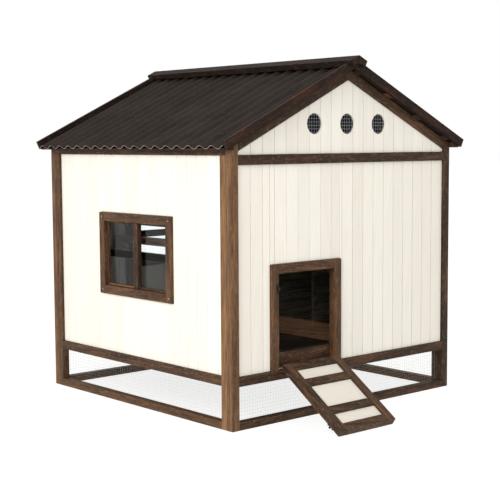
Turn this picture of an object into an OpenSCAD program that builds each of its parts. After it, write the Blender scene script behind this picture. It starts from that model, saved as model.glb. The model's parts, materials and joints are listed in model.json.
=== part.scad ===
// Chicken coop: a boarded house on a batten frame, with a corrugated roof, a fixed
// window, a drop-down pop door that serves as the ramp, and a rear access door.
// Built with the front (pop door) towards -Y. The origin is on the ground, at the
// centre of the whole outline with the ramp down.

/* [House] */
// Width over the corner posts
house_w = 1400; // [1340:10:1500]
// Depth from front face to rear face
house_d = 1378; // [1340:2:1500]
// Underside of the rails that carry the floor
mid_rail_z = 187; // [170:1:220]
// Underside of the gable tie beams
tie_beam_z = 1118; // [1080:1:1160]
// Ground to the point of the gable boarding
gable_apex_z = 1487; // [1470:1:1500]

/* [Timber] */
// Face width of a batten
batten_w = 40; // [38:1:42]
// Thickness of a batten
batten_t = 36; // [34:1:38]
// Height of the rails on the ground
ground_rail_h = 35; // [30:1:40]
// Distance from one board joint to the next
board_pitch = 68.5; // [60:0.5:80]
// Thickness of the boarding
board_t = 12; // [9:1:14]
// How far the boarding sits behind the frame's face
board_setback = 12; // [8:1:12]

/* [Roof] */
// Roof slope in degrees
roof_angle = 25.4; // [24.4:0.2:26]
// Wave pitch of the corrugated sheet
wave_pitch = 77; // [70:1:84]
// Wave height of the corrugated sheet
wave_h = 15; // [12:1:16]
// Length of a slope, from the point of the gable boarding to the eave
slope_len = 804; // [796:1:830]
// Front overhang of the ridge cap
cap_front = 61; // [50:1:75]
// Rear overhang of the ridge cap
cap_rear = 68; // [50:1:80]

/* [Window] */
// Distance from the front face to the window frame
window_y = 411; // [380:1:440]
// Width of the window frame
window_w = 553; // [480:1:580]
// Underside of the window frame
window_z = 502; // [470:1:530]
// Height of the window frame
window_h = 384; // [340:1:400]

/* [Pop door] */
// Middle of the pop door, from the coop's middle
popdoor_x = -262; // [-300:1:-200]
// Clear width of the pop door
popdoor_w = 342; // [320:1:360]
// Clear height of the pop door
popdoor_h = 421; // [400:1:440]
// Thickness of the leaf that folds down as the ramp
ramp_t = 32; // [28:1:34]

/* [Rear door] */
// Middle of the rear door, from the coop's middle
rear_door_x = 35; // [0:1:60]
// Clear width of the rear door
rear_door_w = 540; // [500:5:640]
// Clear height of the rear door
rear_door_h = 699; // [660:1:760]

/* [Inside] */
// Middle of the perch, from the coop's middle
perch_x = -322; // [-330:1:-300]
// Top of the perch
perch_z = 735; // [720:1:800]
// Front board of the nest boxes, from the coop's middle
nest_x = 210; // [180:5:260]

/* [Hidden] */

stain = "#5d4436";
stain_dark = "#3d2d23";
cream = "#efe8dc";
sheet_brown = "#3a3330";
steel = "#9a9a98";
black_iron = "#1c1c1c";
clear = "#bcd0d8";

half_w = house_w / 2;
inner_x = half_w - batten_w;              // inner edges of the gable stiles
side_in = half_w - batten_t;              // inner faces of the side panels
mid_rail_top = mid_rail_z + batten_w;
tie_beam_top = tie_beam_z + batten_w;
end_in = batten_t;                        // inner face of the front panel
board_in = board_setback + board_t;       // inner face of the boarding
joint = 0.6;                              // gap between two boards
fit = 0.3;                                // gap between pieces that nearly touch

// Heights above the underside of the rafters, square to the slope
rafter_n = batten_w;
purlin_n = rafter_n + 8;
purlin_low_n = purlin_n - batten_t;
cap_n = purlin_n + wave_h + 3;
cap_t = 28;
barge_n = rafter_n + 3;
barge_w = 40;
barge_t = 18;
barge_back = 20;                          // gap from the gable's face to the bargeboard
cap_w = 57;
sheet_t = 1.2;
sheet_top_s = -17;                        // top edge of a sheet, along the slope
sheet_over = 5;                           // sheet beyond the bargeboards' ends

// Vents
vent_d = 90;
vent_z = 1290;
vent_step = 3 * board_pitch;
wire = 1.2;

// Pop door leaf, drawn closed and then swung down
ramp_gap_side = 5;
ramp_gap_low = 4;
ramp_w = popdoor_w - 2 * ramp_gap_side;
ramp_l = popdoor_h - ramp_gap_low - 3;
ramp_x = popdoor_x - ramp_w / 2;
ramp_z = mid_rail_top + ramp_gap_low;
ramp_panel_l = [62, ramp_l - 4 * batten_w - 2 * 62, 62];
ramp_setback = 10;
pin_out = 5;                              // pin axis in front of the leaf's face
pin_low = 2;                              // pin axis below the leaf's edge
pin_z = ramp_z - pin_low;
ramp_reach = ramp_l + pin_low;
ramp_rest = atan2(pin_out, ramp_reach) + acos((fit - pin_z) / norm([pin_out, ramp_reach]));

// Rear door leaf
rear_gap = 3;
rear_leaf_w = rear_door_w - 2 * rear_gap;
rear_leaf_h = rear_door_h - 2 * rear_gap;
rear_leaf_x = rear_door_x - rear_leaf_w / 2;
rear_leaf_z = mid_rail_top + rear_gap;
rear_board_h = 290;
rear_bar_z = 731;
rear_glass_z = rear_leaf_z + 2 * batten_w + rear_board_h;
rear_glass_h = rear_leaf_h - 3 * batten_w - rear_board_h;
rear_pin_x = rear_leaf_x + rear_leaf_w + rear_gap / 2;
rear_pin_y = house_d + pin_out;

// Hinges and bolts
pin_r = 2;
pin_fit = 0.05;
knuckle_r = 4.4;
hinge_l = 60;
flap_t = 2;
flap_w = 26;
bolt_r = 3;
bolt_fit = 0.08;
bolt_out = 6;                             // bolt axis in front of the face
bolt_throw = 20;
bolt_plate = [36, 38, 1.5];
rivet_at = 14;                            // rivets above and below the rod
bolt_lip = 5;
ramp_bolt_at = 352;                       // from the hinged edge of the leaf
rear_bolt_z = 640;

// The whole outline, used to place the origin at its middle
front_reach = pin_out - (pin_out + ramp_t) * cos(ramp_rest) + ramp_reach * sin(ramp_rest);
shift_y = (front_reach - (house_d + cap_rear)) / 2;

module placed() {
    translate([0, shift_y, 0]) children();
}

module both_sides() {
    children();
    mirror([1, 0, 0]) children();
}

// Repeats the front panel's piece on the rear panel
module at_rear() {
    translate([0, house_d, 0]) mirror([0, 1, 0]) children();
}

// A box given by its low and high corners
module slab(low, high) {
    translate(low) cube(high - low);
}

// Local X runs down the right slope and local Z stands square to it
module on_slope() {
    translate([0, 0, gable_apex_z]) rotate([0, roof_angle, 0]) children();
}

// Height of the plane n above the rafters' underside, at x from the middle
function roof_z(x, n) = gable_apex_z + n / cos(roof_angle) - abs(x) * tan(roof_angle);

// ---- Boarding ----

function clip(v, low, high) = max(low, min(high, v));

// Upright boards between a0 and a1 along the wall, from z0 to z1, with a joint grid
// centred on mid. The wall's outer face is the XZ plane.
module board_field(a0, a1, z0, z1, mid) {
    n_low = floor((a0 - mid) / board_pitch - 0.5);
    n_high = ceil((a1 - mid) / board_pitch + 0.5);
    for (n = [n_low : n_high]) {
        left = clip(mid + (n - 0.5) * board_pitch + joint / 2, a0, a1);
        right = clip(mid + (n + 0.5) * board_pitch - joint / 2, a0, a1);
        if (right - left > 3)
            slab([left, board_setback, z0], [right, board_in, z1]);
    }
}

// Boards from a0 to a1 and z0 to z1 round an opening [low a, low z, high a, high z]
module boards_round(a0, a1, z0, z1, hole, mid) {
    board_field(a0, hole[0] - fit, z0, z1, mid);
    board_field(hole[2] + fit, a1, z0, z1, mid);
    board_field(hole[0], hole[2], hole[3], z1, mid);
    if (hole[1] - z0 > 1)
        board_field(hole[0], hole[2], z0, hole[1], mid);
}

module gable_field() {
    n_max = ceil(inner_x / board_pitch);
    for (n = [-n_max : n_max]) {
        left = clip((n - 0.5) * board_pitch + joint / 2, -inner_x, inner_x);
        right = clip((n + 0.5) * board_pitch - joint / 2, -inner_x, inner_x);
        top = n == 0 ? [[0, roof_z(0, 0)]] : [];
        if (right - left > 3)
            translate([0, board_in, 0]) rotate([90, 0, 0]) linear_extrude(board_t)
                polygon(concat([[left, tie_beam_top], [right, tie_beam_top],
                    [right, roof_z(right, 0)]], top, [[left, roof_z(left, 0)]]));
    }
}

// ---- Gable panels ----

module gable_stiles() {
    both_sides() translate([0, batten_t, 0]) rotate([90, 0, 0]) linear_extrude(batten_t)
        polygon([[inner_x, 0], [half_w, 0], [half_w, roof_z(half_w, rafter_n)],
            [inner_x, roof_z(inner_x, rafter_n)]]);
}

module gable_rail(z, h) {
    slab([-inner_x, 0, z], [inner_x, batten_t, z + h]);
}

module gable_rafters() {
    both_sides() translate([0, batten_t, 0]) rotate([90, 0, 0]) linear_extrude(batten_t)
        polygon([[fit / 2, roof_z(0, 0)], [inner_x, roof_z(inner_x, 0)],
            [inner_x, roof_z(inner_x, rafter_n)], [fit / 2, roof_z(0, rafter_n)]]);
}

module vent_holes() {
    for (n = [-1 : 1])
        translate([n * vent_step, board_in + 1, vent_z]) rotate([90, 0, 0])
            cylinder(h = board_t + 2, d = vent_d, $fn = 48);
}

module front_stiles() { color(stain) placed() gable_stiles(); }
module front_mid_rail() { color(stain) placed() gable_rail(mid_rail_z, batten_w); }
module front_rafters() { color(stain) placed() gable_rafters(); }

module front_boards() {
    frame_low = popdoor_x - popdoor_w / 2 - batten_w;
    frame_high = popdoor_x + popdoor_w / 2 + batten_w;
    frame_top = mid_rail_top + popdoor_h + batten_w;
    color(cream) placed()
        boards_round(-inner_x, inner_x, mid_rail_top, tie_beam_z,
            [frame_low, mid_rail_top, frame_high, frame_top], 0);
}

module front_gable_boards() {
    color(cream) placed() difference() {
        gable_field();
        vent_holes();
    }
}

module back_stiles() { color(stain) placed() at_rear() gable_stiles(); }
module back_mid_rail() { color(stain) placed() at_rear() gable_rail(mid_rail_z, batten_w); }
module back_rafters() { color(stain) placed() at_rear() gable_rafters(); }

module back_boards() {
    frame_low = rear_door_x - rear_door_w / 2 - batten_w;
    frame_high = rear_door_x + rear_door_w / 2 + batten_w;
    frame_top = mid_rail_top + rear_door_h + batten_w;
    color(cream) placed() at_rear()
        boards_round(-inner_x, inner_x, mid_rail_top, tie_beam_z,
            [frame_low, mid_rail_top, frame_high, frame_top], 0);
}

module back_gable_boards() { color(cream) placed() at_rear() gable_field(); }

module end_ground_rails() {
    color(stain) placed() {
        gable_rail(0, ground_rail_h);
        at_rear() gable_rail(0, ground_rail_h);
    }
}

module tie_beams() {
    color(stain) placed() {
        gable_rail(tie_beam_z, batten_w);
        at_rear() gable_rail(tie_beam_z, batten_w);
    }
}

// ---- Side panels, drawn on the right and mirrored to the left ----

side_y0 = batten_t;
side_y1 = house_d - batten_t;
side_a0 = side_y0 + batten_t;
side_a1 = side_y1 - batten_t;

module side_stiles() {
    slab([side_in, side_y0, 0], [half_w, side_a0, tie_beam_top]);
    slab([side_in, side_a1, 0], [half_w, side_y1, tie_beam_top]);
}

module side_rail(z, h) {
    slab([side_in, side_a0, z], [half_w, side_a1, z + h]);
}

// Turns a wall drawn on the XZ plane so that it becomes the right wall
module as_side_wall() {
    translate([half_w, 0, 0]) rotate([0, 0, 90]) children();
}

module left_stiles() { color(stain) placed() mirror([1, 0, 0]) side_stiles(); }
module right_stiles() { color(stain) placed() side_stiles(); }

module left_mid_rail() {
    color(stain) placed() mirror([1, 0, 0]) side_rail(mid_rail_z, batten_w);
}

module right_mid_rail() { color(stain) placed() side_rail(mid_rail_z, batten_w); }

module left_boards() {
    color(cream) placed() mirror([1, 0, 0]) as_side_wall()
        boards_round(side_a0, side_a1, mid_rail_top, tie_beam_top,
            [window_y, window_z, window_y + window_w, window_z + window_h], house_d / 2);
}

module right_boards() {
    color(cream) placed() as_side_wall()
        board_field(side_a0, side_a1, mid_rail_top, tie_beam_top, house_d / 2);
}

module side_ground_rails() { color(stain) placed() both_sides() side_rail(0, ground_rail_h); }

// The top rails run over the stiles and carry the foot of the roof
module side_top_rails() {
    color(stain) placed() both_sides()
        slab([side_in, side_y0, tie_beam_top], [half_w, side_y1, tie_beam_top + batten_w]);
}

// ---- Wire mesh ----

// A welded grid from [0, 0] to size, with about pitch between wires
module grid(size, pitch, width) {
    nx = round(size[0] / pitch);
    ny = round(size[1] / pitch);
    cell = [(size[0] - width) / nx, (size[1] - width) / ny];
    linear_extrude(wire) difference() {
        square(size);
        for (i = [0 : nx - 1], j = [0 : ny - 1])
            translate([width + i * cell[0], width + j * cell[1]])
                square([cell[0] - width, cell[1] - width]);
    }
}

mesh_z0 = 8;
mesh_z1 = mid_rail_z + 18;
mesh_pitch = 44;
mesh_wire = 1.6;
mesh_x = side_in - 2;

module end_mesh_panel() {
    translate([-mesh_x, end_in + wire, mesh_z0]) rotate([90, 0, 0])
        grid([2 * mesh_x, mesh_z1 - mesh_z0], mesh_pitch, mesh_wire);
}

module end_mesh() {
    color(steel) placed() {
        end_mesh_panel();
        at_rear() end_mesh_panel();
    }
}

module side_mesh() {
    mesh_y0 = end_in + wire + 1;
    color(steel) placed() both_sides()
        translate([side_in - wire, mesh_y0, mesh_z0]) rotate([90, 0, 90])
            grid([house_d - 2 * mesh_y0, mesh_z1 - mesh_z0], mesh_pitch, mesh_wire);
}

vent_patch = 108;
vent_cell = 15;

module vent_mesh() {
    color(steel) placed()
        for (n = [-1 : 1])
            translate([n * vent_step - vent_patch / 2, board_in + wire, vent_z - vent_patch / 2])
                rotate([90, 0, 0]) grid([vent_patch, vent_patch], vent_cell, wire);
}

// ---- Roof ----

// Middles of the purlins along the slope
purlin_s = [22, 252, 480, 700];
purlin_w = batten_t;

module purlins() {
    color(stain) placed() both_sides() on_slope()
        for (s = purlin_s)
            union() {
                slab([s - purlin_w / 2, end_in, purlin_low_n],
                    [s + purlin_w / 2, house_d - end_in, purlin_n]);
                slab([s - purlin_w / 2, -barge_back, rafter_n + 0.2],
                    [s + purlin_w / 2, house_d + barge_back, purlin_n]);
            }
}

eave_batten_z = 1179;
eave_batten_w = 44;

module eave_battens() {
    top_n = purlin_n - fit;
    color(stain_dark) placed() both_sides()
        translate([0, house_d + barge_back, 0]) rotate([90, 0, 0])
            linear_extrude(house_d + 2 * barge_back)
                polygon([[half_w, eave_batten_z], [half_w + eave_batten_w, eave_batten_z],
                    [half_w + eave_batten_w, roof_z(half_w + eave_batten_w, top_n)],
                    [half_w, roof_z(half_w, top_n)]]);
}

// A bargeboard's outline on the slope. It is stepped under the ridge cap and
// cut upright at the ridge.
module barge_outline() {
    step_s = cap_w - (cap_n + cap_t) * tan(roof_angle) + fit;
    low_s = -barge_n * tan(roof_angle) + fit;
    mid_s = -(cap_n - fit) * tan(roof_angle) + fit;
    polygon([[low_s, barge_n], [slope_len, barge_n], [slope_len, barge_n + barge_w],
        [step_s, barge_n + barge_w], [step_s, cap_n - fit], [mid_s, cap_n - fit]]);
}

module bargeboards() {
    both_sides() on_slope()
        translate([0, -barge_back, 0]) rotate([90, 0, 0]) linear_extrude(barge_t)
            barge_outline();
}

module front_bargeboards() { color(stain_dark) placed() bargeboards(); }
module back_bargeboards() { color(stain_dark) placed() at_rear() bargeboards(); }

// One corrugated sheet: a wave along Y, drawn down the slope
wave_steps = 12;
sheet_l = house_d + 2 * barge_back - 2 * fit;
waves = sheet_l / wave_pitch;
wave_points = round(waves * wave_steps);

function wave(i, lift) = [
    i * sheet_l / wave_points,
    lift + wave_h / 2 * (1 - cos(360 * waves * i / wave_points + 180))
];

module roof_sheet() {
    upper = [for (i = [0 : wave_points]) wave(i, sheet_t)];
    lower = [for (i = [wave_points : -1 : 0]) wave(i, 0)];
    on_slope()
        translate([sheet_top_s, fit - barge_back, purlin_n]) rotate([90, 0, 90])
            linear_extrude(slope_len + sheet_over - sheet_top_s) polygon(concat(upper, lower));
}

module left_roof_sheet() { color(sheet_brown) placed() mirror([1, 0, 0]) roof_sheet(); }
module right_roof_sheet() { color(sheet_brown) placed() roof_sheet(); }

module ridge_caps() {
    top_n = cap_n + cap_t;
    color(stain_dark) placed() both_sides() on_slope()
        translate([0, house_d + cap_rear, 0]) rotate([90, 0, 0])
            linear_extrude(house_d + cap_front + cap_rear)
                polygon([[fit - cap_n * tan(roof_angle), cap_n],
                    [cap_w - top_n * tan(roof_angle), cap_n],
                    [cap_w - top_n * tan(roof_angle), top_n],
                    [fit - top_n * tan(roof_angle), top_n]]);
}

// Sheet screws stand on the wave crests over the lower three purlins
screw_head_r = 5;

module roof_screws() {
    crest_0 = wave_pitch / 2 - barge_back + fit;
    rows = [for (i = [1 : 3]) purlin_s[i]];
    color(black_iron) placed() both_sides() on_slope()
        for (s = rows, n = [0 : 3 : 15])
            translate([s, crest_0 + (n + 1) * wave_pitch, purlin_n + wave_h + sheet_t + 0.1])
                rotate_extrude($fn = 24)
                    polygon([[0, 0], [screw_head_r + 2, 0], [screw_head_r + 2, 1.2],
                        [screw_head_r, 1.6], [screw_head_r - 1.5, 4], [0, 4.6]]);
}

// ---- Floor and fittings inside ----

floor_t = 12;
floor_top = mid_rail_top + floor_t;
floor_y0 = end_in + fit;
floor_y1 = house_d - end_in - fit;
floor_x = side_in - fit;
joist_x = [-540, -180, 180, 540];

module floor_joists() {
    y0 = end_in + wire + fit;
    color(stain) placed()
        for (x = joist_x)
            slab([x - batten_t / 2, y0, mid_rail_z],
                [x + batten_t / 2, house_d - y0, mid_rail_top]);
}

floor_board_count = 14;

module floor_boards() {
    step = (floor_y1 - floor_y0 + joint) / floor_board_count;
    color(stain_dark) placed()
        for (n = [0 : floor_board_count - 1])
            slab([-floor_x, floor_y0 + n * step, mid_rail_top],
                [floor_x, floor_y0 + (n + 1) * step - joint, floor_top]);
}

threshold_h = 58;
plank_t = 18;

module threshold_board() {
    half = popdoor_w / 2 + batten_w;
    color(stain_dark) placed()
        slab([popdoor_x - half, floor_y0, floor_top],
            [popdoor_x + half, floor_y0 + plank_t, floor_top + threshold_h]);
}

nest_lip_h = 84;
nest_low_z = 590;                         // front edge of the nest roof
nest_high_z = 730;                        // back edge of the nest roof
nest_wall_x = side_in - fit;
nest_div_x = nest_x + plank_t + fit;

function nest_roof_z(x) =
    nest_low_z + (nest_high_z - nest_low_z) * (x - nest_div_x) / (nest_wall_x - nest_div_x);

module nest_front_board() {
    color(stain) placed()
        slab([nest_x, floor_y0, floor_top], [nest_x + plank_t, floor_y1, floor_top + nest_lip_h]);
}

module nest_dividers() {
    span = floor_y1 - floor_y0;
    color(stain) placed()
        for (n = [1 : 2])
            translate([0, floor_y0 + n * span / 3 + plank_t / 2, 0])
                rotate([90, 0, 0]) linear_extrude(plank_t)
                    polygon([[nest_div_x, floor_top], [nest_wall_x, floor_top],
                        [nest_wall_x, nest_high_z], [nest_div_x, nest_low_z]]);
}

module nest_roof() {
    x0 = nest_x - 20;
    color(stain) placed()
        translate([0, floor_y1, 0]) rotate([90, 0, 0]) linear_extrude(floor_y1 - floor_y0)
            polygon([[x0, nest_roof_z(x0) + fit], [nest_wall_x, nest_high_z + fit],
                [nest_wall_x, nest_high_z + board_t], [x0, nest_roof_z(x0) + board_t]]);
}

perch_block_l = 40;
perch_block_h = 40;

module perch() {
    color(stain) placed()
        slab([perch_x - batten_w / 2, end_in + 1, perch_z - batten_t],
            [perch_x + batten_w / 2, house_d - end_in - 1, perch_z]);
}

module perch_blocks() {
    low = perch_z - batten_t - perch_block_h;
    high = perch_z - batten_t;
    half = batten_w / 2 + 12;
    color(stain_dark) placed() {
        slab([perch_x - half, end_in, low], [perch_x + half, end_in + perch_block_l, high]);
        slab([perch_x - half, house_d - end_in - perch_block_l, low],
            [perch_x + half, house_d - end_in, high]);
    }
}

// ---- Window in the left wall ----

pane_t = 3;
pane_in = 30;                             // outer face to the pane
rear_pane_in = 20;
bar_w = 36;
bar_t = 14;
bar_in = 8;                               // outer face to the upright bar
bead = 9;                                 // width of the glazing beads
bead_t = 12;

module window_frame() {
    y0 = window_y;
    y1 = window_y + window_w;
    z0 = window_z;
    z1 = window_z + window_h;
    color(stain) placed() mirror([1, 0, 0]) {
        slab([side_in, y0, z0], [half_w, y0 + batten_w, z1]);
        slab([side_in, y1 - batten_w, z0], [half_w, y1, z1]);
        slab([side_in, y0 + batten_w + 0.1, z0], [half_w, y1 - batten_w - 0.1, z0 + batten_w]);
        slab([side_in, y0 + batten_w + 0.1, z1 - batten_w], [half_w, y1 - batten_w - 0.1, z1]);
    }
}

// The upright bar is outside the pane and the level bar is inside it
module window_bars() {
    y_mid = window_y + window_w / 2;
    z_mid = window_z + window_h / 2;
    y_in = [window_y + batten_w, window_y + window_w - batten_w];
    z_in = [window_z + batten_w, window_z + window_h - batten_w];
    out_x = half_w - bar_in;
    in_x = half_w - pane_in - pane_t;
    color(stain) placed() mirror([1, 0, 0]) {
        slab([half_w - pane_in, y_mid - bar_w / 2, z_in[0]], [out_x, y_mid + bar_w / 2, z_in[1]]);
        slab([in_x - bar_t, y_in[0], z_mid - bar_w / 2], [in_x, y_in[1], z_mid + bar_w / 2]);
    }
}

// Beads hold the pane from outside; the level ones stop at the upright bar
module window_beads() {
    y_mid = window_y + window_w / 2;
    y_in = [window_y + batten_w, window_y + window_w - batten_w];
    z_in = [window_z + batten_w, window_z + window_h - batten_w];
    x0 = half_w - pane_in;
    x1 = x0 + bead_t;
    color(stain) placed() mirror([1, 0, 0]) {
        slab([x0, y_in[0], z_in[0]], [x1, y_in[0] + bead, z_in[1]]);
        slab([x0, y_in[1] - bead, z_in[0]], [x1, y_in[1], z_in[1]]);
        for (z = [z_in[0], z_in[1] - bead]) {
            slab([x0, y_in[0] + bead + 0.1, z], [x1, y_mid - bar_w / 2 - 0.1, z + bead]);
            slab([x0, y_mid + bar_w / 2 + 0.1, z], [x1, y_in[1] - bead - 0.1, z + bead]);
        }
    }
}

module window_pane() {
    x1 = half_w - pane_in;
    color(clear, 0.4) placed() mirror([1, 0, 0])
        slab([x1 - pane_t, window_y + batten_w, window_z + batten_w],
            [x1, window_y + window_w - batten_w, window_z + window_h - batten_w]);
}

// ---- Pop door and ramp ----

// Two jambs and a head round a doorway, on a gable panel
module door_frame(mid, w, h) {
    top = mid_rail_top + h;
    for (side = [-1, 1])
        translate([mid + side * (w + batten_w) / 2, 0, 0])
            slab([-batten_w / 2, 0, mid_rail_top], [batten_w / 2, batten_t, top + batten_w]);
    slab([mid - w / 2 + 0.1, 0, top], [mid + w / 2 - 0.1, batten_t, top + batten_w]);
}

module popdoor_frame() { color(stain) placed() door_frame(popdoor_x, popdoor_w, popdoor_h); }

// Swings pieces drawn on the closed leaf down to the ramp's place
module ramp_down() {
    translate([0, -pin_out, pin_z]) rotate([ramp_rest, 0, 0])
        translate([0, pin_out, -pin_z]) children();
}

// Underside of leaf rail n, counted from the hinge
function ramp_rail_z(n) = ramp_z + n * batten_w
    + (n > 0 ? ramp_panel_l[0] : 0) + (n > 1 ? ramp_panel_l[1] : 0)
    + (n > 2 ? ramp_panel_l[2] : 0);

module ramp_frame() {
    x0 = ramp_x;
    x1 = ramp_x + ramp_w;
    color(stain) placed() ramp_down() {
        slab([x0, 0, ramp_z], [x0 + batten_w, ramp_t, ramp_z + ramp_l]);
        slab([x1 - batten_w, 0, ramp_z], [x1, ramp_t, ramp_z + ramp_l]);
        for (n = [0 : 3])
            slab([x0 + batten_w + 0.1, 0, ramp_rail_z(n)],
                [x1 - batten_w - 0.1, ramp_t, ramp_rail_z(n) + batten_w]);
    }
}

module ramp_panels() {
    y1 = ramp_t - ramp_setback;
    color(cream) placed() ramp_down()
        for (n = [0 : 2])
            slab([ramp_x + batten_w, y1 - board_t, ramp_rail_z(n) + batten_w],
                [ramp_x + ramp_w - batten_w, y1, ramp_rail_z(n + 1)]);
}

// ---- Hinges: the pin runs along X, the moving flap lies up +Z on the y = 0 face ----

knuckle_l = hinge_l / 3;

module knuckle(x0, x1) {
    translate([x0, 0, 0]) rotate([0, 90, 0]) difference() {
        cylinder(h = x1 - x0, r = knuckle_r, $fn = 40);
        translate([0, 0, -1]) cylinder(h = x1 - x0 + 2, r = pin_r + pin_fit, $fn = 40);
    }
}

// A flap from the knuckle to flap_w, with its back on the plane pin_out behind the pin
module flap(x0, x1, up) {
    low = up > 0 ? pin_low + fit : pin_low;
    difference() {
        union() {
            slab([x0, pin_out - flap_t, up > 0 ? low : -flap_w],
                [x1, pin_out - 0.05, up > 0 ? flap_w : -low]);
            slab([x0, pin_r + 0.6, up > 0 ? 0 : -pin_low - 1],
                [x1, pin_out - 1.2, up > 0 ? pin_low + 1 : 0]);
        }
        translate([x0 - 1, 0, 0]) rotate([0, 90, 0])
            cylinder(h = x1 - x0 + 2, r = pin_r + pin_fit, $fn = 40);
    }
}

module moving_leaf() {
    a = knuckle_l / 2 - 0.2;
    union() {
        knuckle(-a, a);
        flap(-a, a, 1);
    }
}

module fixed_leaf() {
    a = knuckle_l / 2 + 0.2;
    union() {
        for (side = [-1, 1]) {
            x0 = side > 0 ? a : -hinge_l / 2;
            knuckle(x0, x0 + hinge_l / 2 - a);
            flap(x0, x0 + hinge_l / 2 - a, -1);
        }
        slab([-hinge_l / 2, pin_out - flap_t, -flap_w], [hinge_l / 2, pin_out - 0.05, -knuckle_r - 1]);
    }
}

module hinge_pin() {
    half = hinge_l / 2;
    rotate([0, 90, 0]) rotate_extrude($fn = 40)
        polygon([[0, -half - 2], [pin_r + 1, -half - 2], [pin_r + 1, -half - 0.2],
            [pin_r, -half - 0.2], [pin_r, half + 0.2], [pin_r + 1, half + 0.2],
            [pin_r + 1, half + 2], [0, half + 2]]);
}

ramp_hinge_x = [-100, 100];
rear_hinge_z = [rear_leaf_z + 90, rear_leaf_z + rear_leaf_h - 90];

module at_ramp_hinges() {
    for (x = ramp_hinge_x)
        translate([popdoor_x + x, -pin_out, pin_z]) children();
}

// The rear hinges stand upright, with the moving flap towards the leaf
module at_rear_hinges() {
    for (z = rear_hinge_z)
        translate([rear_pin_x, rear_pin_y, z]) rotate([0, 90, 180]) children();
}

module ramp_hinge_leaves() {
    color(black_iron) placed()
        for (x = ramp_hinge_x)
            translate([popdoor_x + x, -pin_out, pin_z]) rotate([ramp_rest, 0, 0]) moving_leaf();
}

module rear_hinge_leaves() { color(black_iron) placed() at_rear_hinges() moving_leaf(); }

module hinge_fixed_leaves() {
    color(black_iron) placed() {
        at_ramp_hinges() fixed_leaf();
        at_rear_hinges() fixed_leaf();
    }
}

module hinge_pins() {
    color(black_iron) placed() {
        at_ramp_hinges() hinge_pin();
        at_rear_hinges() hinge_pin();
    }
}

// ---- Barrel bolts: the plate starts at x = 0 on the y = 0 face and the rod runs along X ----

module bolt_guide(x) {
    difference() {
        slab([x, -bolt_out - bolt_r - 1.6, -bolt_r - 1.6], [x + bolt_lip, 0, bolt_r + 1.6]);
        translate([x - 1, -bolt_out, 0]) rotate([0, 90, 0])
            cylinder(h = bolt_lip + 2, r = bolt_r + bolt_fit, $fn = 40);
    }
}

// Two domed rivets, one each side of the rod
module rivets(x, h) {
    for (side = [-1, 1])
        translate([x, 0, side * rivet_at]) rotate([90, 0, 0]) cylinder(h = h, r1 = 4.4, r2 = 3.2, $fn = 32);
}

module bolt_case() {
    union() {
        rivets(5, 8);
        slab([0, -bolt_plate[2], -bolt_plate[1] / 2], [bolt_plate[0], 0, bolt_plate[1] / 2]);
        bolt_guide(0);
        bolt_guide(bolt_plate[0] - bolt_lip);
    }
}

module bolt_rod() {
    rod_l = bolt_plate[0] + bolt_throw + 1;
    knob_x = bolt_plate[0] - bolt_lip - 3;
    union() {
        translate([-0.5, -bolt_out, 0]) rotate([0, 90, 0]) cylinder(h = rod_l, r = bolt_r, $fn = 40);
        translate([knob_x, -bolt_out, 0]) rotate([90, 0, 0]) cylinder(h = 15, r = 2.4, $fn = 32);
        translate([knob_x, -bolt_out - 15, 0]) rotate([90, 0, 0]) cylinder(h = 4, r = 4, $fn = 32);
    }
}

// A square staple on a plate on the jamb, with the rod's end passing through it
module keeper() {
    w = 10;
    gap = bolt_r + 0.8;
    high = bolt_out + gap + 2;
    difference() {
        union() {
            slab([0, -bolt_plate[2], -20], [w, 0, 20]);
            slab([0, -high, -gap - 2], [w, 0, gap + 2]);
            rivets(w / 2, 5);
        }
        slab([-1, -bolt_out - gap, -gap], [w + 1, -bolt_plate[2], gap]);
    }
}

bolt_inset = 2;
ramp_bolt_pos = [ramp_x + bolt_inset, 0, ramp_z + ramp_bolt_at];
rear_bolt_pos = [rear_leaf_x + bolt_inset, 0, rear_bolt_z];

// Turns bolt pieces drawn on a front face round to the rear face
module on_rear_face() {
    translate([0, house_d, 0]) mirror([0, 1, 0]) children();
}

module ramp_bolt_case() { color(black_iron) placed() ramp_down() translate(ramp_bolt_pos) bolt_case(); }
module ramp_bolt_rod() { color(black_iron) placed() ramp_down() translate(ramp_bolt_pos) bolt_rod(); }
module rear_bolt_case() { color(black_iron) placed() on_rear_face() translate(rear_bolt_pos) bolt_case(); }
module rear_bolt_rod() { color(black_iron) placed() on_rear_face() translate(rear_bolt_pos) bolt_rod(); }

keeper_back = 12;                         // keeper's far edge behind the doorway's edge

module bolt_keepers() {
    color(black_iron) placed() {
        translate([popdoor_x - popdoor_w / 2 - keeper_back, 0, ramp_bolt_pos[2]]) keeper();
        on_rear_face()
            translate([rear_door_x - rear_door_w / 2 - keeper_back, 0, rear_bolt_z]) keeper();
    }
}

// ---- Rear door ----

module rear_door_frame() {
    color(stain) placed() at_rear() door_frame(rear_door_x, rear_door_w, rear_door_h);
}

rear_x0 = rear_leaf_x;
rear_x1 = rear_leaf_x + rear_leaf_w;
rear_t = 32;

module rear_rail(z) {
    slab([rear_x0 + batten_w + 0.1, 0, z], [rear_x1 - batten_w - 0.1, rear_t, z + batten_w]);
}

module rear_leaf_frame() {
    color(stain) placed() at_rear() {
        slab([rear_x0, 0, rear_leaf_z], [rear_x0 + batten_w, rear_t, rear_leaf_z + rear_leaf_h]);
        slab([rear_x1 - batten_w, 0, rear_leaf_z], [rear_x1, rear_t, rear_leaf_z + rear_leaf_h]);
        rear_rail(rear_leaf_z);
        rear_rail(rear_glass_z - batten_w);
        rear_rail(rear_leaf_z + rear_leaf_h - batten_w);
    }
}

module rear_leaf_boards() {
    color(cream) placed() at_rear()
        board_field(rear_x0 + batten_w, rear_x1 - batten_w, rear_leaf_z + batten_w,
            rear_leaf_z + batten_w + rear_board_h, rear_door_x);
}

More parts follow.
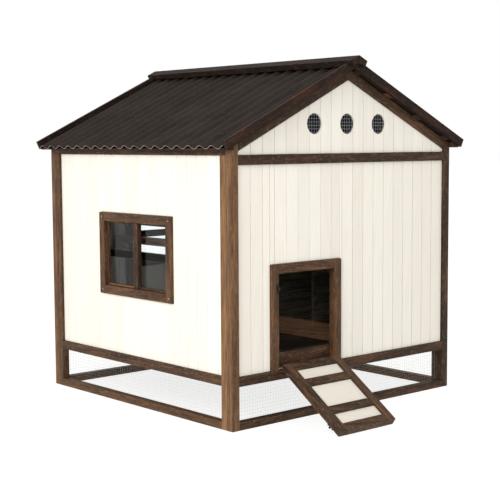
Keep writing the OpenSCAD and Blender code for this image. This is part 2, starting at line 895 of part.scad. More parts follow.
module rear_leaf_bars() {
    out_y = rear_pane_in;
    color(stain) placed() at_rear() {
        slab([rear_door_x - bar_w / 2, out_y - bar_t, rear_glass_z],
            [rear_door_x + bar_w / 2, out_y, rear_glass_z + rear_glass_h]);
        slab([rear_x0 + batten_w, out_y + pane_t, rear_bar_z - bar_w / 2],
            [rear_x1 - batten_w, rear_t, rear_bar_z + bar_w / 2]);
    }
}

module rear_leaf_pane() {
    out_y = rear_pane_in;
    color(clear, 0.4) placed() at_rear()
        slab([rear_x0 + batten_w, out_y, rear_glass_z],
            [rear_x1 - batten_w, out_y + pane_t, rear_glass_z + rear_glass_h]);
}

front_stiles();
front_mid_rail();
front_rafters();
front_boards();
front_gable_boards();
back_stiles();
back_mid_rail();
back_rafters();
back_boards();
back_gable_boards();
end_ground_rails();
tie_beams();
left_stiles();
left_mid_rail();
left_boards();
right_stiles();
right_mid_rail();
right_boards();
side_ground_rails();
side_top_rails();
end_mesh();
side_mesh();
vent_mesh();
purlins();
eave_battens();
front_bargeboards();
back_bargeboards();
left_roof_sheet();
right_roof_sheet();
ridge_caps();
roof_screws();
floor_joists();
floor_boards();
threshold_board();
nest_front_board();
nest_dividers();
nest_roof();
perch();
perch_blocks();
window_frame();
window_bars();
window_beads();
window_pane();
popdoor_frame();
ramp_frame();
ramp_panels();
ramp_hinge_leaves();
ramp_bolt_case();
ramp_bolt_rod();
rear_door_frame();
rear_leaf_frame();
rear_leaf_boards();
rear_leaf_bars();
rear_leaf_pane();
rear_hinge_leaves();
rear_bolt_case();
rear_bolt_rod();
hinge_fixed_leaves();
hinge_pins();
bolt_keepers();
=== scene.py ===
"""Looks for the chicken coop: procedural materials, fine wire mesh and roof sheets
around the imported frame. Metres, in the frame's axes: front -Y, up +Z."""

import json
import math
import random

import bpy
from mathutils import Matrix, Vector

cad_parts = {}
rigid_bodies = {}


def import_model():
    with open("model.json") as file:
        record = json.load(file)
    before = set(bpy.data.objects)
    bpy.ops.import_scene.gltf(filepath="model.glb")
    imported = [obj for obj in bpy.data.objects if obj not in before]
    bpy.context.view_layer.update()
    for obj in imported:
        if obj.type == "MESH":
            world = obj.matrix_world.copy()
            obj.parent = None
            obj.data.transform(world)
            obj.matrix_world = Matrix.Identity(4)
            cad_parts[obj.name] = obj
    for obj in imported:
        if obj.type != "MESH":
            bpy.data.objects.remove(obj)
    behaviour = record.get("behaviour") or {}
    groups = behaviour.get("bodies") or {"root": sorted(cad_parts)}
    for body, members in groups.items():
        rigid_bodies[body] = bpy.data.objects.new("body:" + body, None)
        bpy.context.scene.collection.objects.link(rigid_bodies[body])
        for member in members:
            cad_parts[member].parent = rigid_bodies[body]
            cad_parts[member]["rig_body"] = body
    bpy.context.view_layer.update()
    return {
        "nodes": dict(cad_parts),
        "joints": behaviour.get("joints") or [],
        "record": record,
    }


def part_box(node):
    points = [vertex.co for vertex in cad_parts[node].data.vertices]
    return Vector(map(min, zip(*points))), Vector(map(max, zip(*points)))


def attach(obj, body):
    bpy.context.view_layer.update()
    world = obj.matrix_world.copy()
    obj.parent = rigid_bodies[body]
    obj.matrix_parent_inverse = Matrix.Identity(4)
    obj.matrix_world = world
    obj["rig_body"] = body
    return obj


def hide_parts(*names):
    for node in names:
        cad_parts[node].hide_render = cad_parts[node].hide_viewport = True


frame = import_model()
rng = random.Random(7)
MM = 0.001


# ---------- node helpers ----------

def rgb(code):
    """An sRGB hex colour as linear RGBA."""
    out = []
    for i in (1, 3, 5):
        c = int(code[i:i + 2], 16) / 255
        out.append(c / 12.92 if c <= 0.04045 else ((c + 0.055) / 1.055) ** 2.4)
    return out + [1.0]


class Graph:
    """A material's node tree with one short way to add nodes."""

    def __init__(self, name):
        self.mat = bpy.data.materials.new(name)
        self.mat.use_nodes = True
        self.tree = self.mat.node_tree
        self.tree.nodes.clear()
        self.out = self.add("ShaderNodeOutputMaterial")
        self.shader = self.add("ShaderNodeBsdfPrincipled")
        self.tree.links.new(self.shader.outputs[0], self.out.inputs["Surface"])

    def add(self, kind, inputs=None, **props):
        node = self.tree.nodes.new(kind)
        for key, value in props.items():
            setattr(node, key, value)
        for key, value in (inputs or {}).items():
            if isinstance(value, bpy.types.NodeSocket):
                self.tree.links.new(value, node.inputs[key])
            else:
                node.inputs[key].default_value = value
        return node

    def math(self, op, *values, clamp=False):
        return self.add("ShaderNodeMath", dict(enumerate(values)), operation=op,
                        use_clamp=clamp).outputs[0]

    def vector(self, op, *values):
        node = self.add("ShaderNodeVectorMath", dict(enumerate(values)), operation=op)
        return node.outputs["Value" if op in ("LENGTH", "DISTANCE") else "Vector"]

    def noise(self, vector, scale=1.0, detail=3.0, rough=0.55):
        return self.add("ShaderNodeTexNoise", {"Vector": vector, "Scale": scale, "Detail": detail,
                        "Roughness": rough}).outputs["Fac"]

    def spread(self, value, low, high, to_low=0.0, to_high=1.0):
        return self.add("ShaderNodeMapRange", {"Value": value, "From Min": low, "From Max": high,
                        "To Min": to_low, "To Max": to_high}, clamp=True).outputs["Result"]

    def mix(self, factor, a, b):
        node = self.add("ShaderNodeMix", data_type="RGBA")
        for index, value in ((0, factor), (6, a), (7, b)):
            if isinstance(value, bpy.types.NodeSocket):
                self.tree.links.new(value, node.inputs[index])
            else:
                node.inputs[index].default_value = value
        return node.outputs[2]

    def ramp(self, factor, *stops):
        node = self.add("ShaderNodeValToRGB", {"Fac": factor})
        elements = node.color_ramp.elements
        while len(elements) < len(stops):
            elements.new(0.5)
        for element, (place, colour) in zip(elements, stops):
            element.position = place
            element.color = rgb(colour)
        return node.outputs["Color"]

    def finish(self, bump=None, depth=0.0, **sockets):
        if bump is not None:
            normal = self.add("ShaderNodeBump", {"Height": bump, "Distance": depth})
            sockets["Normal"] = normal.outputs["Normal"]
        for key, value in sockets.items():
            socket = self.shader.inputs[key.replace("_", " ")]
            if isinstance(value, bpy.types.NodeSocket):
                self.tree.links.new(value, socket)
            else:
                socket.default_value = value
        return self.mat


# ---------- timber ----------

RING = 4.2 * MM          # growth-ring pitch of quick-grown softwood
FIBRE = 1.1 * MM         # width of the fibre streaks, far coarser than real fibres so that they show


def wood_pattern(g):
    """Ring, fibre, knot and blotch fields in the piece's own grain space, x along the grain."""
    grain = g.add("ShaderNodeAttribute", attribute_name="grain").outputs["Vector"]
    tone = g.add("ShaderNodeAttribute", attribute_name="tone").outputs["Fac"]
    cells = g.add("ShaderNodeTexVoronoi", {"Vector": g.vector("MULTIPLY", grain, (2.4, 13.0, 13.0)),
                  "Scale": 1.0}).outputs["Distance"]
    near_knot = g.spread(cells, 0.30, 0.04)
    knot = g.spread(cells, 0.135, 0.07)
    sway = g.noise(g.vector("MULTIPLY", grain, (2.2, 9.0, 9.0)), detail=2.0)
    sway = g.math("MULTIPLY_ADD", sway, 0.022, g.math("MULTIPLY", near_knot, 0.010))
    split = g.add("ShaderNodeSeparateXYZ", {0: grain})
    y = g.math("ADD", split.outputs["Y"], sway)
    radius = g.vector("LENGTH", g.add("ShaderNodeCombineXYZ", {"Y": y, "Z": split.outputs["Z"]}).outputs[0])
    wave = g.math("SINE", g.math("MULTIPLY", radius, 2 * math.pi / RING))
    ring = g.math("POWER", g.math("MULTIPLY_ADD", wave, 0.5, 0.5), 1.8)
    fibre = g.noise(g.vector("MULTIPLY", grain, (14.0, 1 / FIBRE, 1 / FIBRE)), detail=3.0, rough=0.6)
    blotch = g.noise(g.vector("MULTIPLY", grain, (4.0, 42.0, 42.0)), detail=4.0, rough=0.6)
    return {"tone": tone, "ring": ring, "fibre": fibre, "knot": knot, "near": near_knot,
            "blotch": blotch, "grain": grain}


def stained(name, deep, mid, light, rust, grey, rough=0.55, gloss=0.17):
    """Softwood under a translucent stain: fibres show, knots come redder and worn flecks greyer."""
    g = Graph(name)
    w = wood_pattern(g)
    streak = g.noise(g.vector("MULTIPLY", w["grain"], (9.0, 330.0, 330.0)), detail=4.0, rough=0.7)
    worn = g.noise(g.vector("MULTIPLY", w["grain"], (38.0, 120.0, 120.0)), detail=5.0, rough=0.72)
    body = g.math("MULTIPLY_ADD", w["ring"], 0.18, g.math("MULTIPLY", w["fibre"], 0.40))
    body = g.math("ADD", body, g.math("MULTIPLY_ADD", streak, 0.80, -0.34))
    body = g.math("ADD", body, g.math("MULTIPLY_ADD", w["blotch"], 0.80, -0.40))
    body = g.math("ADD", body, g.math("MULTIPLY_ADD", w["tone"], 0.50, -0.25), clamp=True)
    colour = g.ramp(body, (0.12, deep), (0.45, mid), (0.82, light))
    colour = g.mix(g.spread(w["blotch"], 0.55, 0.75, 0.0, 0.35), colour, rgb(rust))
    colour = g.mix(g.math("MULTIPLY", w["near"], 0.45), colour, rgb(rust))
    colour = g.mix(g.spread(worn, 0.52, 0.70, 0.0, 0.42), colour, rgb(grey))
    colour = g.mix(g.math("MULTIPLY", w["knot"], 0.75), colour, rgb(deep))
    relief = g.math("MULTIPLY_ADD", w["ring"], -0.5, w["fibre"])
    return g.finish(bump=relief, depth=0.22 * MM, Base_Color=colour, IOR=1.48, Specular_IOR_Level=gloss,
                    Roughness=g.spread(w["fibre"], 0.25, 0.75, rough - 0.07, rough + 0.10))


def painted(name, base, shade, warm, rough=0.5):
    """Opaque satin paint on softwood boards: the grain only stands up faintly through the film."""
    g = Graph(name)
    w = wood_pattern(g)
    brush = g.noise(g.vector("MULTIPLY", w["grain"], (6.0, 520.0, 520.0)), detail=2.0)
    dirt = g.spread(w["blotch"], 0.42, 0.85)
    colour = g.mix(g.math("MULTIPLY", w["tone"], 0.55), rgb(base), rgb(warm))
    colour = g.mix(g.math("MULTIPLY", w["ring"], 0.13), colour, rgb(shade))
    colour = g.mix(g.math("MULTIPLY", dirt, 0.22), colour, rgb(shade))
    colour = g.mix(g.math("MULTIPLY", w["knot"], 0.16), colour, rgb("#cdb48c"))
    relief = g.math("MULTIPLY_ADD", w["ring"], 0.5, g.math("MULTIPLY_ADD", brush, 0.35,
                    g.math("MULTIPLY", w["fibre"], 0.4)))
    return g.finish(bump=relief, depth=0.12 * MM, Base_Color=colour, IOR=1.5,
                    Roughness=g.spread(brush, 0.3, 0.7, rough - 0.06, rough + 0.08))


def object_space(g, scale):
    place = g.add("ShaderNodeTexCoord").outputs["Object"]
    return g.vector("MULTIPLY", place, scale)


def bitumen_sheet():
    """Fibre-bitumen corrugated sheet: matt, pigmented dark brown, with a slightly granular skin."""
    g = Graph("fibre_bitumen_sheet")
    grit = g.noise(object_space(g, (900, 900, 900)), detail=2.0, rough=0.7)
    fibre = g.noise(object_space(g, (160, 60, 160)), detail=4.0, rough=0.6)
    cloud = g.noise(object_space(g, (5, 7, 5)), detail=4.0)
    body = g.math("MULTIPLY_ADD", grit, 0.35, g.math("MULTIPLY_ADD", fibre, 0.35,
                  g.math("MULTIPLY", cloud, 0.4)))
    colour = g.ramp(body, (0.30, "#15100d"), (0.52, "#241d19"), (0.78, "#372d28"))
    relief = g.math("MULTIPLY_ADD", fibre, 0.8, grit)
    return g.finish(bump=relief, depth=0.30 * MM, Base_Color=colour, IOR=1.5, Specular_IOR_Level=0.12,
                    Roughness=g.spread(grit, 0.3, 0.7, 0.70, 0.86))


def cut_edge():
    """Raw sawn edge of the sheet, coloured pale as a painted highlight along it."""
    g = Graph("sheet_edge_painted_highlight")
    fluff = g.noise(object_space(g, (1400, 500, 1400)), detail=3.0)
    colour = g.ramp(fluff, (0.3, "#6f665e"), (0.7, "#a89e92"))
    return g.finish(bump=fluff, depth=0.15 * MM, Base_Color=colour, IOR=1.5,
                    Roughness=g.spread(fluff, 0.3, 0.7, 0.8, 0.95))


def lacquered_steel():
    """Steel fittings under black satin lacquer, with a fine orange-peel skin."""
    g = Graph("black_lacquered_steel")
    peel = g.noise(object_space(g, (700, 700, 700)), detail=2.0)
    wear = g.noise(object_space(g, (90, 90, 90)), detail=4.0)
    colour = g.ramp(wear, (0.35, "#0c0c0c"), (0.65, "#161514"), (0.85, "#2a2725"))
    return g.finish(bump=peel, depth=0.05 * MM, Base_Color=colour, IOR=1.5,
                    Specular_IOR_Level=0.3,
                    Roughness=g.spread(wear, 0.3, 0.8, 0.34, 0.55))


def zinc_wire(name, low, high):
    """Galvanised wire: spangled zinc, from its low to its high colour."""
    g = Graph(name)
    spangle = g.noise(object_space(g, (420, 420, 420)), detail=3.0)
    colour = g.ramp(spangle, (0.3, low), (0.7, high))
    return g.finish(bump=spangle, depth=0.03 * MM, Base_Color=colour, Metallic=1.0,
                    Roughness=g.spread(spangle, 0.3, 0.7, 0.32, 0.5))


def cap_plastic():
    """Moulded caps of the sheet screws, pigmented to match the roof."""
    g = Graph("screw_cap_plastic")
    grain = g.noise(object_space(g, (1200, 1200, 1200)), detail=2.0)
    colour = g.ramp(grain, (0.3, "#1d1a18"), (0.7, "#2b2623"))
    return g.finish(bump=grain, depth=0.03 * MM, Base_Color=colour, IOR=1.49, Specular_IOR_Level=0.2,
                    Roughness=g.spread(grain, 0.3, 0.7, 0.6, 0.75))


def clear_sheet():
    """Clear glazing with a trace of smear. Its index is under a real sheet's, to hold back studio glare."""
    g = Graph("clear_glazing")
    smear = g.noise(object_space(g, (18, 18, 30)), detail=3.0)
    faint = g.ramp(smear, (0.3, "#f4f8f9"), (0.8, "#fbfdfd"))
    return g.finish(Base_Color=faint, Transmission_Weight=1.0, IOR=1.2, Specular_IOR_Level=0.22,
                    Roughness=g.spread(smear, 0.3, 0.8, 0.0, 0.03))


def zinc_screw():
    """Zinc-plated countersunk screws."""
    g = Graph("zinc_plated_screw")
    brush = g.noise(object_space(g, (1500, 1500, 1500)), detail=2.0)
    colour = g.ramp(brush, (0.3, "#a9a496"), (0.7, "#cfcabb"))
    return g.finish(bump=brush, depth=0.02 * MM, Base_Color=colour, Metallic=1.0,
                    Roughness=g.spread(brush, 0.3, 0.7, 0.28, 0.42))


MAT = {
    "stained_timber": stained("walnut_stained_softwood", "#2a1c12", "#513824", "#8b6746", "#6b4229",
                              "#856c51"),
    "dark_timber": stained("dark_stained_softwood", "#180f0a", "#332117", "#553a28", "#532c19", "#574534",
                           rough=0.64, gloss=0.12),
    "floor_timber": stained("floor_softwood", "#2b2623", "#4a443d", "#686058", "#54402f", "#6c665c",
                            rough=0.62),
    # Timber inside is kept pale enough to be made out through the pop door: its paleness is painted light,
    # for light that hardly reaches inside
    "nest_timber": stained("nest_softwood_painted_light", "#4a443b", "#857b6c", "#b0a592", "#8a6a4c", "#9d968a",
                           rough=0.7),
    "perch_timber": stained("inside_brown_softwood", "#55392a", "#8c6349", "#bd9778", "#955b42", "#ad9279"),
    "cream_boards": painted("cream_painted_softwood", "#dfdacf", "#c3bbad", "#d2cbc0"),
    "ramp_panels": painted("scuffed_ramp_paint", "#d3cdc1", "#b3aa9b", "#c8c0b1", rough=0.6),
    "roof_sheet": bitumen_sheet(),
    "cut_edge": cut_edge(),
    "roof_fixings": cap_plastic(),
    "galvanised_wire": zinc_wire("dull_galvanised_wire", "#8f908c", "#b9bab5"),
    "bright_wire": zinc_wire("bright_galvanised_wire", "#a6a9ae", "#d8dbe0"),
    "clear_pane": clear_sheet(),
    "black_hardware": lacquered_steel(),
    "screws": zinc_screw(),
}


# ---------- dressing the CAD nodes ----------

def solids(points, faces):
    """Vertex groups of the separate solids, joining vertices that share a place."""
    parent = list(range(len(points)))

    def find(i):
        while parent[i] != i:
            parent[i] = parent[parent[i]]
            i = parent[i]
        return i

    seen = {}
    for i, p in enumerate(points):
        key = tuple(round(c, 5) for c in p)
        parent[find(i)] = find(seen.setdefault(key, i))
    for face in faces:
        for v in face[1:]:
            parent[find(v)] = find(face[0])
    groups = {}
    for i in range(len(points)):
        groups.setdefault(find(i), []).append(i)
    return [groups[k] for k in sorted(groups)]


def long_axes(points, faces, chosen):
    """The piece's own axes, from its longest edge and the face beside it."""
    inside = set(chosen)
    best = (0.0, Vector((1, 0, 0)))
    normal = Vector((0, 0, 1))
    for face in faces:
        if face[0] not in inside:
            continue
        ring = [points[v] for v in face]
        for a, b in zip(ring, ring[1:] + ring[:1]):
            edge = b - a
            if edge.length > best[0] + 1e-6:
                n = (ring[1] - ring[0]).cross(ring[2] - ring[1])
                if n.length > 1e-12:
                    best = (edge.length, edge.normalized())
                    normal = n.normalized()
    x = best[1]
    z = (normal - x * normal.dot(x)).normalized()
    return x, z.cross(x), z


# Painted light: a falling tone pair makes pieces near this corner lighter and those away from it darker
CORNER = Vector((-0.7, -0.7))   # front left corner
NEAR = 0.7                      # how far from it a piece still counts as near


def grain_fields(obj, along=None, tones=(0.0, 1.0)):
    """Writes each solid's grain space, with its own shift, and its tone.
    A falling pair is painted light: the lighter tone near the front left corner, the darker one away from
    it."""
    mesh = obj.data
    points = [v.co.copy() for v in mesh.vertices]
    faces = [list(p.vertices) for p in mesh.polygons]
    grain = [0.0] * (3 * len(points))
    tone = [0.0] * len(points)
    for group in solids(points, faces):
        x, y, z = along or long_axes(points, faces, group)
        centre = sum((points[i] for i in group), Vector()) / len(group)
        shift = Vector((rng.uniform(-5, 5), rng.uniform(-0.03, 0.03), rng.uniform(0.03, 0.07)))
        # Painted light falling off: with a falling pair, pieces away from the corner take the darker tone
        away = (centre.xy - CORNER).length > NEAR
        shade = tones[away] if tones[0] > tones[1] else rng.uniform(*tones)
        for i in group:
            p = points[i] - centre
            place = Vector((p.dot(x), p.dot(y), p.dot(z))) + shift
            grain[3 * i:3 * i + 3] = place[:]
            tone[i] = shade
    for name, kind, values, key in (("grain", "FLOAT_VECTOR", grain, "vector"),
                                    ("tone", "FLOAT", tone, "value")):
        field = mesh.attributes.get(name) or mesh.attributes.new(name, kind, "POINT")
        field.data.foreach_set(key, values)


def dress(obj, material, bevel, segments=2):
    obj.data.materials.clear()
    obj.data.materials.append(material)
    for name in ("custom_normal", "sharp_face", "sharp_edge"):
        layer = obj.data.attributes.get(name)
        if layer:
            obj.data.attributes.remove(layer)
    obj.data.shade_smooth()
    weld = obj.modifiers.new("weld", "WELD")
    weld.merge_threshold = 0.01 * MM
    round_off = obj.modifiers.new("edges", "BEVEL")
    round_off.width = bevel * MM
    round_off.segments = segments
    round_off.limit_method = "ANGLE"
    round_off.angle_limit = math.radians(32)
    round_off.harden_normals = True
    round_off.use_clamp_overlap = True


SLOTS = {s["node"]: s["material_slot"] for s in frame["record"]["subparts"]}
PLAIN_BEVEL = 1.4        # arris of a planed batten, in mm
BEVEL = {"cream_boards": 3.1, "ramp_panels": 1.8, "front_gable_boards": 2.5, "black_hardware": 0.35,
         "clear_pane": 0.3, "roof_fixings": 0.3}
Z_UP = (Vector((0, 0, 1)), Vector((1, 0, 0)), Vector((0, 1, 0)))
LEVEL = (Vector((1, 0, 0)), Vector((0, 0, 1)), Vector((0, -1, 0)))

# Range of tone for a node's pieces, from dark 0 to light 1; a falling pair is painted light, near and far
# from CORNER
TONES_AND_LIGHT_FALLOFF = {"front_stiles": (0.85, 0.0), "right_stiles": (0.0, 0.1), "back_bargeboards": (0.0, 0.1),
         "left_stiles": (1.1, 0.5), "tie_beams": (0.0, 0.15),
         "front_mid_rail": (0.1, 0.3), "left_mid_rail": (0.2, 0.5), "end_ground_rails": (0.1, 0.35),
         "side_ground_rails": (0.3, 0.6), "popdoor_frame": (0.45, 0.65), "ramp_frame": (0.1, 0.45),
         "front_rafters": (0.1, 0.3), "front_bargeboards": (0.0, 0.3), "ridge_caps": (0.0, 0.3),
         "window_frame": (0.4, 0.65), "side_top_rails": (0.3, 0.5)}

GRAIN = {"front_gable_boards": Z_UP, "back_gable_boards": Z_UP, "nest_dividers": LEVEL}

# Nodes whose finish differs from their slot's
LOOKS = {"nest_dividers": "nest_timber", "nest_roof": "nest_timber", "nest_front_board": "perch_timber",
         "perch": "perch_timber", "perch_blocks": "perch_timber"}

for name, node in frame["nodes"].items():
    slot = SLOTS[name]
    if slot in ("stained_timber", "dark_timber", "floor_timber", "cream_boards"):
        grain_fields(node, GRAIN.get(name), TONES_AND_LIGHT_FALLOFF.get(name, (0.0, 1.0)))
    look = LOOKS.get(name, name if name in MAT else slot)
    dress(node, MAT[look], BEVEL.get(name, BEVEL.get(slot, PLAIN_BEVEL)), 1 if slot == "cream_boards" else 2)


# ---------- pieces built here ----------

def make(name, vertices, faces, material, body="coop"):
    mesh = bpy.data.meshes.new(name)
    mesh.from_pydata([tuple(v) for v in vertices], [], faces)
    mesh.materials.append(material)
    mesh.update()
    obj = bpy.data.objects.new(name, mesh)
    bpy.context.scene.collection.objects.link(obj)
    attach(obj, body)
    return obj


def rods(lines, radius):
    """Vertices and faces of capped round rods between pairs of points."""
    sides = 6
    vertices, faces = [], []
    for a, b in lines:
        axis = (b - a).normalized()
        u = axis.orthogonal().normalized()
        v = axis.cross(u)
        base = len(vertices)
        for end in (a, b):
            for k in range(sides):
                t = 2 * math.pi * k / sides
                vertices.append(end + (u * math.cos(t) + v * math.sin(t)) * radius)
        for k in range(sides):
            n = (k + 1) % sides
            faces.append((base + k, base + n, base + sides + n, base + sides + k))
        faces.append(tuple(base + k for k in reversed(range(sides))))
        faces.append(tuple(base + sides + k for k in range(sides)))
    return vertices, faces


def welded_mesh(low, high, across, cell, inward, wire):
    """Wires over the box from low to high: upright ones first, level ones a wire deeper."""
    lines = []
    span = high[across] - low[across]
    count = round(span / cell)
    depth = 1 - across
    mid = (low[depth] + high[depth]) / 2
    for k in range(count + 1):
        a = [0, 0, low[2]]
        a[across] = low[across] + wire + k * (span - 2 * wire) / count
        a[depth] = mid - inward * wire * 0.6
        b = a[:]
        b[2] = high[2]
        lines.append((Vector(a), Vector(b)))
    rise = high[2] - low[2]
    count = round(rise / cell)
    for k in range(count + 1):
        a = [0, 0, low[2] + wire + k * (rise - 2 * wire) / count]
        a[across] = low[across]
        a[depth] = mid + inward * wire * 0.6
        b = a[:]
        b[across] = high[across]
        lines.append((Vector(a), Vector(b)))
    return lines


def panel_boxes(node):
    """Boxes of a node's separate solids."""
    mesh = frame["nodes"][node].data
    points = [v.co for v in mesh.vertices]
    out = []
    for group in solids(points, [list(p.vertices) for p in mesh.polygons]):
        low = Vector([min(points[i][a] for i in group) for a in range(3)])
        high = Vector([max(points[i][a] for i in group) for a in range(3)])
        out.append((low, high))
    return out


# (node, axis it runs along, cell, wire radius). Ground wire is thinner than usual and vent wire thicker,
# so that each shows as faintly or as plainly as it should at a distance
MESHES = (("end_mesh", 0, 15 * MM, 0.2 * MM), ("side_mesh", 1, 15 * MM, 0.2 * MM),
          ("vent_mesh", 0, 15 * MM, 0.60 * MM))
for node, across, cell, wire in MESHES:
    lines = []
    for low, high in panel_boxes(node):
        outward = 1 if (low + high)[1 - across] > 0 else -1
        lines += welded_mesh(low, high, across, cell, -outward, wire)
    look = "bright_wire" if node == "vent_mesh" else "galvanised_wire"
    wires = make("fine_" + node, *rods(lines, wire), MAT[look])
    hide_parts(node)


def box_shell(boxes):
    """Vertices and faces of axis-aligned boxes given by their corners."""
    vertices, faces = [], []
    for low, high in boxes:
        base = len(vertices)
        xs, ys, zs = zip(low, high)
        vertices += [(x, y, z) for x in xs for y in ys for z in zs]
        for quad in ((0, 1, 3, 2), (4, 6, 7, 5), (0, 4, 5, 1), (2, 3, 7, 6), (0, 2, 6, 4), (1, 5, 7, 3)):
            faces.append(tuple(base + k for k in quad))
    return vertices, faces


def edge_heights(points, group, across, edge):
    """Pairs of heights between which a board's long edge is whole."""
    heights = sorted({round(points[i].z, 4) for i in group if abs(points[i][across] - edge) < 0.1 * MM})
    if len(heights) % 2:
        return []
    return list(zip(heights[::2], heights[1::2]))


JOINT_GAP = 2 * MM       # boards closer than this are neighbours in one joint
SHORTEST = 10 * MM       # a shorter length of joint gets no tongue
REACH = 3 * MM           # how far a tongue runs into each board
HALF_TONGUE = 2.9 * MM   # half its thickness


def tongues(name, across):
    """The tongues that close the joints between a wall's boards, seen at the foot of each V."""
    mesh = frame["nodes"][name].data
    points = [v.co for v in mesh.vertices]
    boards = []
    for group in solids(points, [list(p.vertices) for p in mesh.polygons]):
        run = [points[i][across] for i in group]
        boards.append((min(run), max(run), group))
    depths = [p[1 - across] for p in points]
    middle = (min(depths) + max(depths)) / 2
    boxes = []
    for _, edge, group in boards:
        for start, _, other in boards:
            if not 0 < start - edge < JOINT_GAP:
                continue
            for a in edge_heights(points, group, across, edge):
                for b in edge_heights(points, other, across, start):
                    foot, head = max(a[0], b[0]), min(a[1], b[1])
                    if head - foot < SHORTEST:
                        continue
                    low, high = [0, 0, foot], [0, 0, head]
                    low[across], high[across] = edge - REACH, start + REACH
                    low[1 - across], high[1 - across] = middle - HALF_TONGUE, middle + HALF_TONGUE
                    boxes.append((low, high))
    body = frame["nodes"][name]["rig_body"]
    obj = make("tongues_" + name, *box_shell(boxes), MAT["cream_boards"], body)
    grain_fields(obj, Z_UP)


for name in ("front_boards", "front_gable_boards", "back_boards", "back_gable_boards", "rear_leaf_boards"):
    tongues(name, 0)
for name in ("left_boards", "right_boards"):
    tongues(name, 1)

SHEET = 1.9 * MM         # thickness of the roof sheet as drawn here
CAD_SHEET = 1.2 * MM     # and in the CAD
STEPS = 20               # points over one wave


def roof_sheet(side):
    """A corrugated sheet over the CAD sheet's place, its skin drawn with finer waves."""
    name = "left_roof_sheet" if side < 0 else "right_roof_sheet"
    points = [v.co for v in frame["nodes"][name].data.vertices]
    down = Vector((side * math.cos(ANGLE), 0, -math.sin(ANGLE)))
    up = Vector((side * math.sin(ANGLE), 0, math.cos(ANGLE)))
    s = [p.dot(down) for p in points]
    n = [p.dot(up) for p in points]
    y = [p.y for p in points]
    y0, y1 = min(y), max(y)
    s0, s1 = min(s), max(s)
    n0 = min(n)
    height = max(n) - n0 - CAD_SHEET
    waves = (y1 - y0) / PITCH
    count = round(waves * STEPS)
    rows = 12
    vertices = []
    for layer in (SHEET, 0.0):
        for j in range(rows + 1):
            for i in range(count + 1):
                along = y0 + (y1 - y0) * i / count
                turn = 2 * math.pi * waves * i / count + math.pi
                lift = n0 + height / 2 * (1 - math.cos(turn)) + layer
                vertices.append(down * (s0 + (s1 - s0) * j / rows) + up * lift + Vector((0, along, 0)))
    w = count + 1
    flip = (rows + 1) * w
    faces = []
    for j in range(rows):
        for i in range(count):
            a = j * w + i
            quad = (a, a + 1, a + w + 1, a + w)
            faces.append(quad if side < 0 else quad[::-1])
            low = tuple(v + flip for v in quad)
            faces.append(low[::-1] if side < 0 else low)
    for i in range(count):
        for row in (0, rows * w):
            a, b = row + i, row + i + 1
            quad = (a, a + flip, b + flip, b)
            faces.append(quad if (row == 0) == (side < 0) else quad[::-1])
    for j in range(rows):
        for col in (0, count):
            a, b = j * w + col, (j + 1) * w + col
            quad = (a, b, b + flip, a + flip)
            faces.append(quad if (col == 0) == (side < 0) else quad[::-1])
    skin = 2 * rows * count
    rims = skin + 2 * count
    obj = make("corrugated_" + name, vertices, faces, MAT["roof_sheet"])
    obj.data.materials.append(MAT["cut_edge"])
    # The eave and ridge rims take the pale edge finish, a painted highlight
    for k, polygon in enumerate(obj.data.polygons):
        polygon.use_smooth = k < skin
        polygon.material_index = 1 if skin <= k < rims else 0
    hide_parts(name)


ANGLE = math.radians(25.4)
PITCH = 77 * MM
roof_sheet(-1)
roof_sheet(1)


# Rings of a screw head: share of its radius, height off the timber in mm
HEAD_PROFILE = ((1.0, -0.2), (1.0, 0.25), (0.9, 0.5), (0.42, 0.5), (0.2, -0.6))


def screw_heads(places, radius):
    """Countersunk heads with a cross recess, standing just off the timber. places: (point, normal)."""
    vertices, faces = [], []
    sides = 20
    for point, normal in places:
        u = normal.orthogonal().normalized()
        v = normal.cross(u)
        base = len(vertices)
        for share, h in HEAD_PROFILE:
            r = radius * share
            for k in range(sides):
                t = 2 * math.pi * k / sides
                arm = 1.0       # every fifth point is drawn out to make the cross
                if r < radius * 0.5 and k % 5 == 0:
                    arm = 1.55 if r > radius * 0.3 else 2.4
                vertices.append(point + (u * math.cos(t) + v * math.sin(t)) * r * arm + normal * h * MM)
        for row in range(len(HEAD_PROFILE) - 1):
            for k in range(sides):
                n = (k + 1) % sides
                a = base + row * sides
                faces.append((a + k, a + n, a + sides + n, a + sides + k))
        faces.append(tuple(len(vertices) - sides + k for k in range(sides)))
    return vertices, faces


def heads(name, places, body, material="screws"):
    radius = 3.2 * MM if material == "screws" else 2.4 * MM
    obj = make(name, *screw_heads(places, radius), MAT[material], body)


X, Y, Z = Vector((1, 0, 0)), Vector((0, 1, 0)), Vector((0, 0, 1))
low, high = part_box("window_frame")
inset = 20 * MM
heads("window_screws", [(Vector((low.x, y, z)), -X)
                        for y in (low.y + inset, high.y - inset)
                        for z in (low.z + inset, high.z - inset)], "coop")

JOINTS = {j["name"]: j for j in frame["joints"]}
FLAP = 3 * MM            # pin axis to the outer face of a hinge flap
ON_LEAF = (12, 21)       # screws of a moving flap, mm from the pin
ON_FRAME = (-20, 0, 20)  # screws of a fixed flap, mm along the pin
OFF_PIN = 17 * MM        # and their distance from it


def middles(node, axis):
    return [(a[axis] + b[axis]) / 2 for a, b in panel_boxes(node)]


# Ramp hinges: the moving flaps lie on the leaf, the fixed ones on the mid rail below
ramp_pin = Vector(JOINTS["ramp_hinge"]["pos_m"])
shut = math.radians(JOINTS["ramp_hinge"]["range_deg"][1])
leaf = Vector((0, -math.sin(shut), math.cos(shut)))
under = Vector((0, -math.cos(shut), -math.sin(shut)))
moving, fixed = [], []
for x in middles("ramp_hinge_leaves", 0):
    pin = Vector((x, ramp_pin.y, ramp_pin.z))
    moving += [(pin + leaf * t * MM - under * FLAP, under) for t in ON_LEAF]
    fixed += [(pin + X * side * MM - Z * OFF_PIN + Y * FLAP, -Y) for side in ON_FRAME]
heads("ramp_hinge_screws", moving, "ramp", "black_hardware")

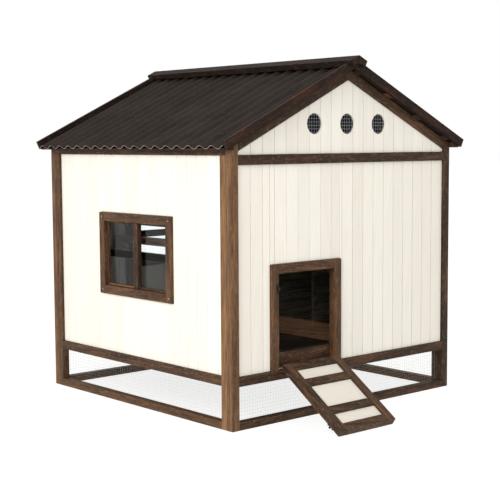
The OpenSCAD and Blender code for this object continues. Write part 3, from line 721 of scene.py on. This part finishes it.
# Rear door hinges: the leaf is on the low-X side of the pins
rear_pin = Vector(JOINTS["rear_door_hinge"]["pos_m"])
moving = []
for z in middles("rear_hinge_leaves", 2):
    pin = Vector((rear_pin.x, rear_pin.y, z))
    moving += [(pin - X * t * MM - Y * FLAP, Y) for t in ON_LEAF]
    fixed += [(pin + X * OFF_PIN + Z * side * MM - Y * FLAP, Y) for side in ON_FRAME]
heads("rear_hinge_screws", moving, "rear_door", "black_hardware")
heads("hinge_frame_screws", fixed, "coop", "black_hardware")

# ---------- floor, light and camera ----------

def studio():
    """A pale floor, white surroundings and two soft lamps. The floor gives off light of its own, so that
    it stays near white even in the shade under the coop."""
    g = Graph("pale_studio_floor")
    mottle = g.noise(object_space(g, (14, 14, 14)), detail=4.0)
    g.finish(Base_Color=g.ramp(mottle, (0.3, "#7c7c7b"), (0.7, "#81817f")), Roughness=0.85, IOR=1.45,
             Emission_Color=rgb("#ffffff"), Emission_Strength=0.82)
    size = 40
    mesh = bpy.data.meshes.new("studio_floor")
    mesh.from_pydata([(-size, -size, 0), (size, -size, 0), (size, size, 0), (-size, size, 0)],
                     [], [(0, 1, 2, 3)])
    mesh.materials.append(g.mat)
    floor = bpy.data.objects.new("studio_floor", mesh)
    bpy.context.scene.collection.objects.link(floor)

    world = bpy.data.worlds.new("studio")
    bpy.context.scene.world = world
    world.use_nodes = True
    background = world.node_tree.nodes["Background"]
    background.inputs["Color"].default_value = (1.0, 1.0, 1.0, 1.0)
    background.inputs["Strength"].default_value = 1.0

    # Place, aim and size in metres, power in watts
    for name, place, aim, size, power in (
            ("key", (-5.8, -2.0, 3.3), (0, 0, 0.6), 2.4, 240),
            ("fill", (-4.0, -4.5, 2.5), (-0.3, -0.5, 0.7), 2.0, 55)):
        lamp = bpy.data.lights.new(name, "AREA")
        lamp.size = size
        lamp.energy = power
        light = bpy.data.objects.new(name, lamp)
        light.location = place
        light.rotation_euler = (Vector(aim) - Vector(place)).to_track_quat("-Z", "Y").to_euler()
        bpy.context.scene.collection.objects.link(light)


def viewing_camera():
    """A long lens left of the front corner, a little under the eaves, looking slightly down."""
    yaw, pitch, roll = math.radians(41.27), math.radians(-5.29), math.radians(-0.33)
    forward = Vector((math.sin(yaw) * math.cos(pitch), math.cos(yaw) * math.cos(pitch), math.sin(pitch)))
    level = Vector((math.cos(yaw), -math.sin(yaw), 0))
    lift = level.cross(forward)
    right = level * math.cos(roll) + lift * math.sin(roll)
    up = lift * math.cos(roll) - level * math.sin(roll)
    lens = bpy.data.cameras.new("camera")
    lens.sensor_width = 36
    lens.lens = 85.04
    camera = bpy.data.objects.new("camera", lens)
    turn = Matrix((right, up, -forward)).transposed()
    camera.matrix_world = Matrix.Translation((-3.8454, -4.2387, 1.2174)) @ turn.to_4x4()
    bpy.context.scene.collection.objects.link(camera)
    bpy.context.scene.camera = camera


studio()
viewing_camera()
bpy.context.scene.view_settings.view_transform = "Standard"
